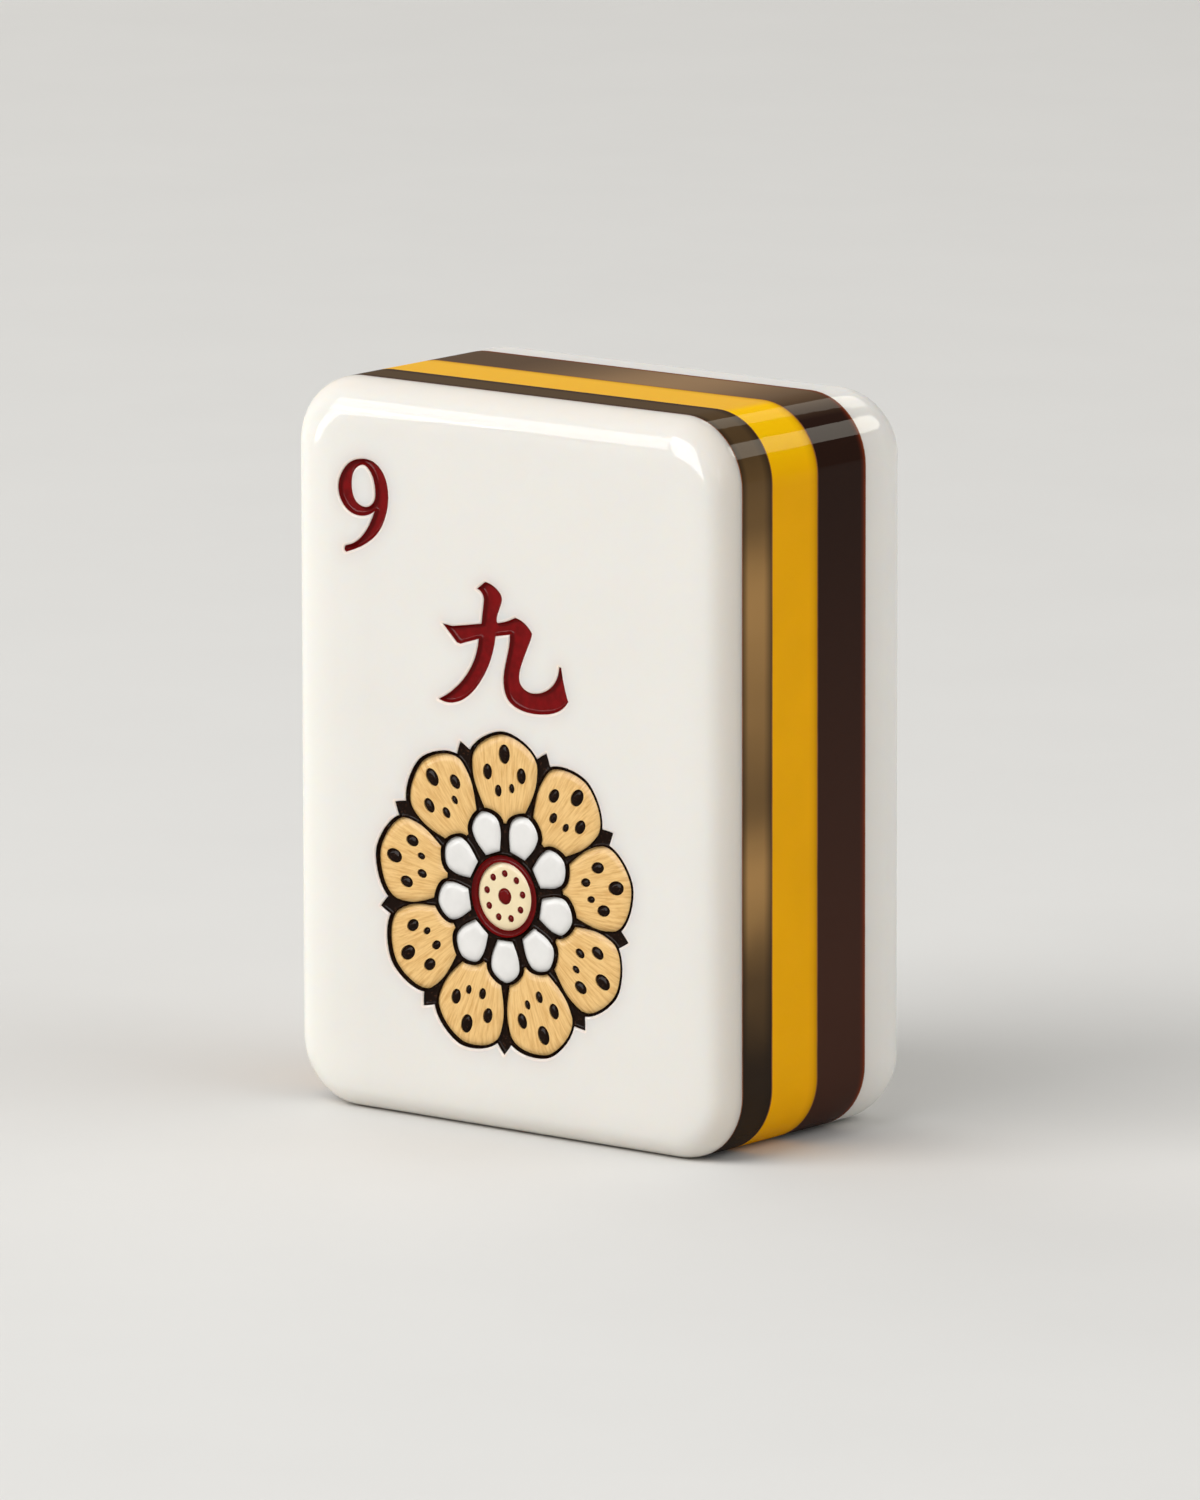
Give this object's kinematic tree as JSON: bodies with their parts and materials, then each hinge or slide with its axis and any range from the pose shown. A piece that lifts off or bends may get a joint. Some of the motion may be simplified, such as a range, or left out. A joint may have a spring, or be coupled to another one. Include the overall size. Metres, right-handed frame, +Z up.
{
  "type": "mahjong tile",
  "caption": "Upright rectangular game tile of bonded plastic layers with rounded edges and an engraved face filled with enamel.",
  "frame": {"origin": "middle of the flat bottom end that the tile stands on", "axes": "+X across the face to the viewer's right, +Y from the engraved face to the back, +Z up along the tile's height"},
  "size_m": [0.0222, 0.0132, 0.03],
  "materials": {
    "ivory_plastic": "polished, faintly translucent ivory plastic",
    "smoke_plastic": "polished, translucent smoky brown plastic",
    "amber_plastic": "polished, translucent amber yellow plastic",
    "brown_plastic": "polished, opaque dark brown plastic",
    "adhesive": "clear reddish brown film",
    "red_enamel": "glossy dark red enamel",
    "dark_enamel": "glossy black-brown enamel",
    "gold_enamel": "satin golden tan enamel with a fine grain",
    "white_enamel": "glossy white enamel",
    "cream_enamel": "glossy cream enamel"
  },
  "bodies": {
    "root": {"front_slab": "ivory_plastic", "smoke_layer": "smoke_plastic", "amber_layer": "amber_plastic", "brown_layer": "brown_plastic", "back_slab": "ivory_plastic", "bond_front_smoke": "adhesive", "bond_smoke_amber": "adhesive", "bond_amber_brown": "adhesive", "bond_brown_back": "adhesive", "index_enamel": "red_enamel", "numeral_enamel": "red_enamel", "outline_enamel": "dark_enamel", "gold_petal_enamel": "gold_enamel", "petal_spot_enamel": "dark_enamel", "inner_petal_enamel": "white_enamel", "ring_enamel": "red_enamel", "disc_enamel": "cream_enamel", "seed_enamel": "red_enamel"}
  },
  "joints": []
}
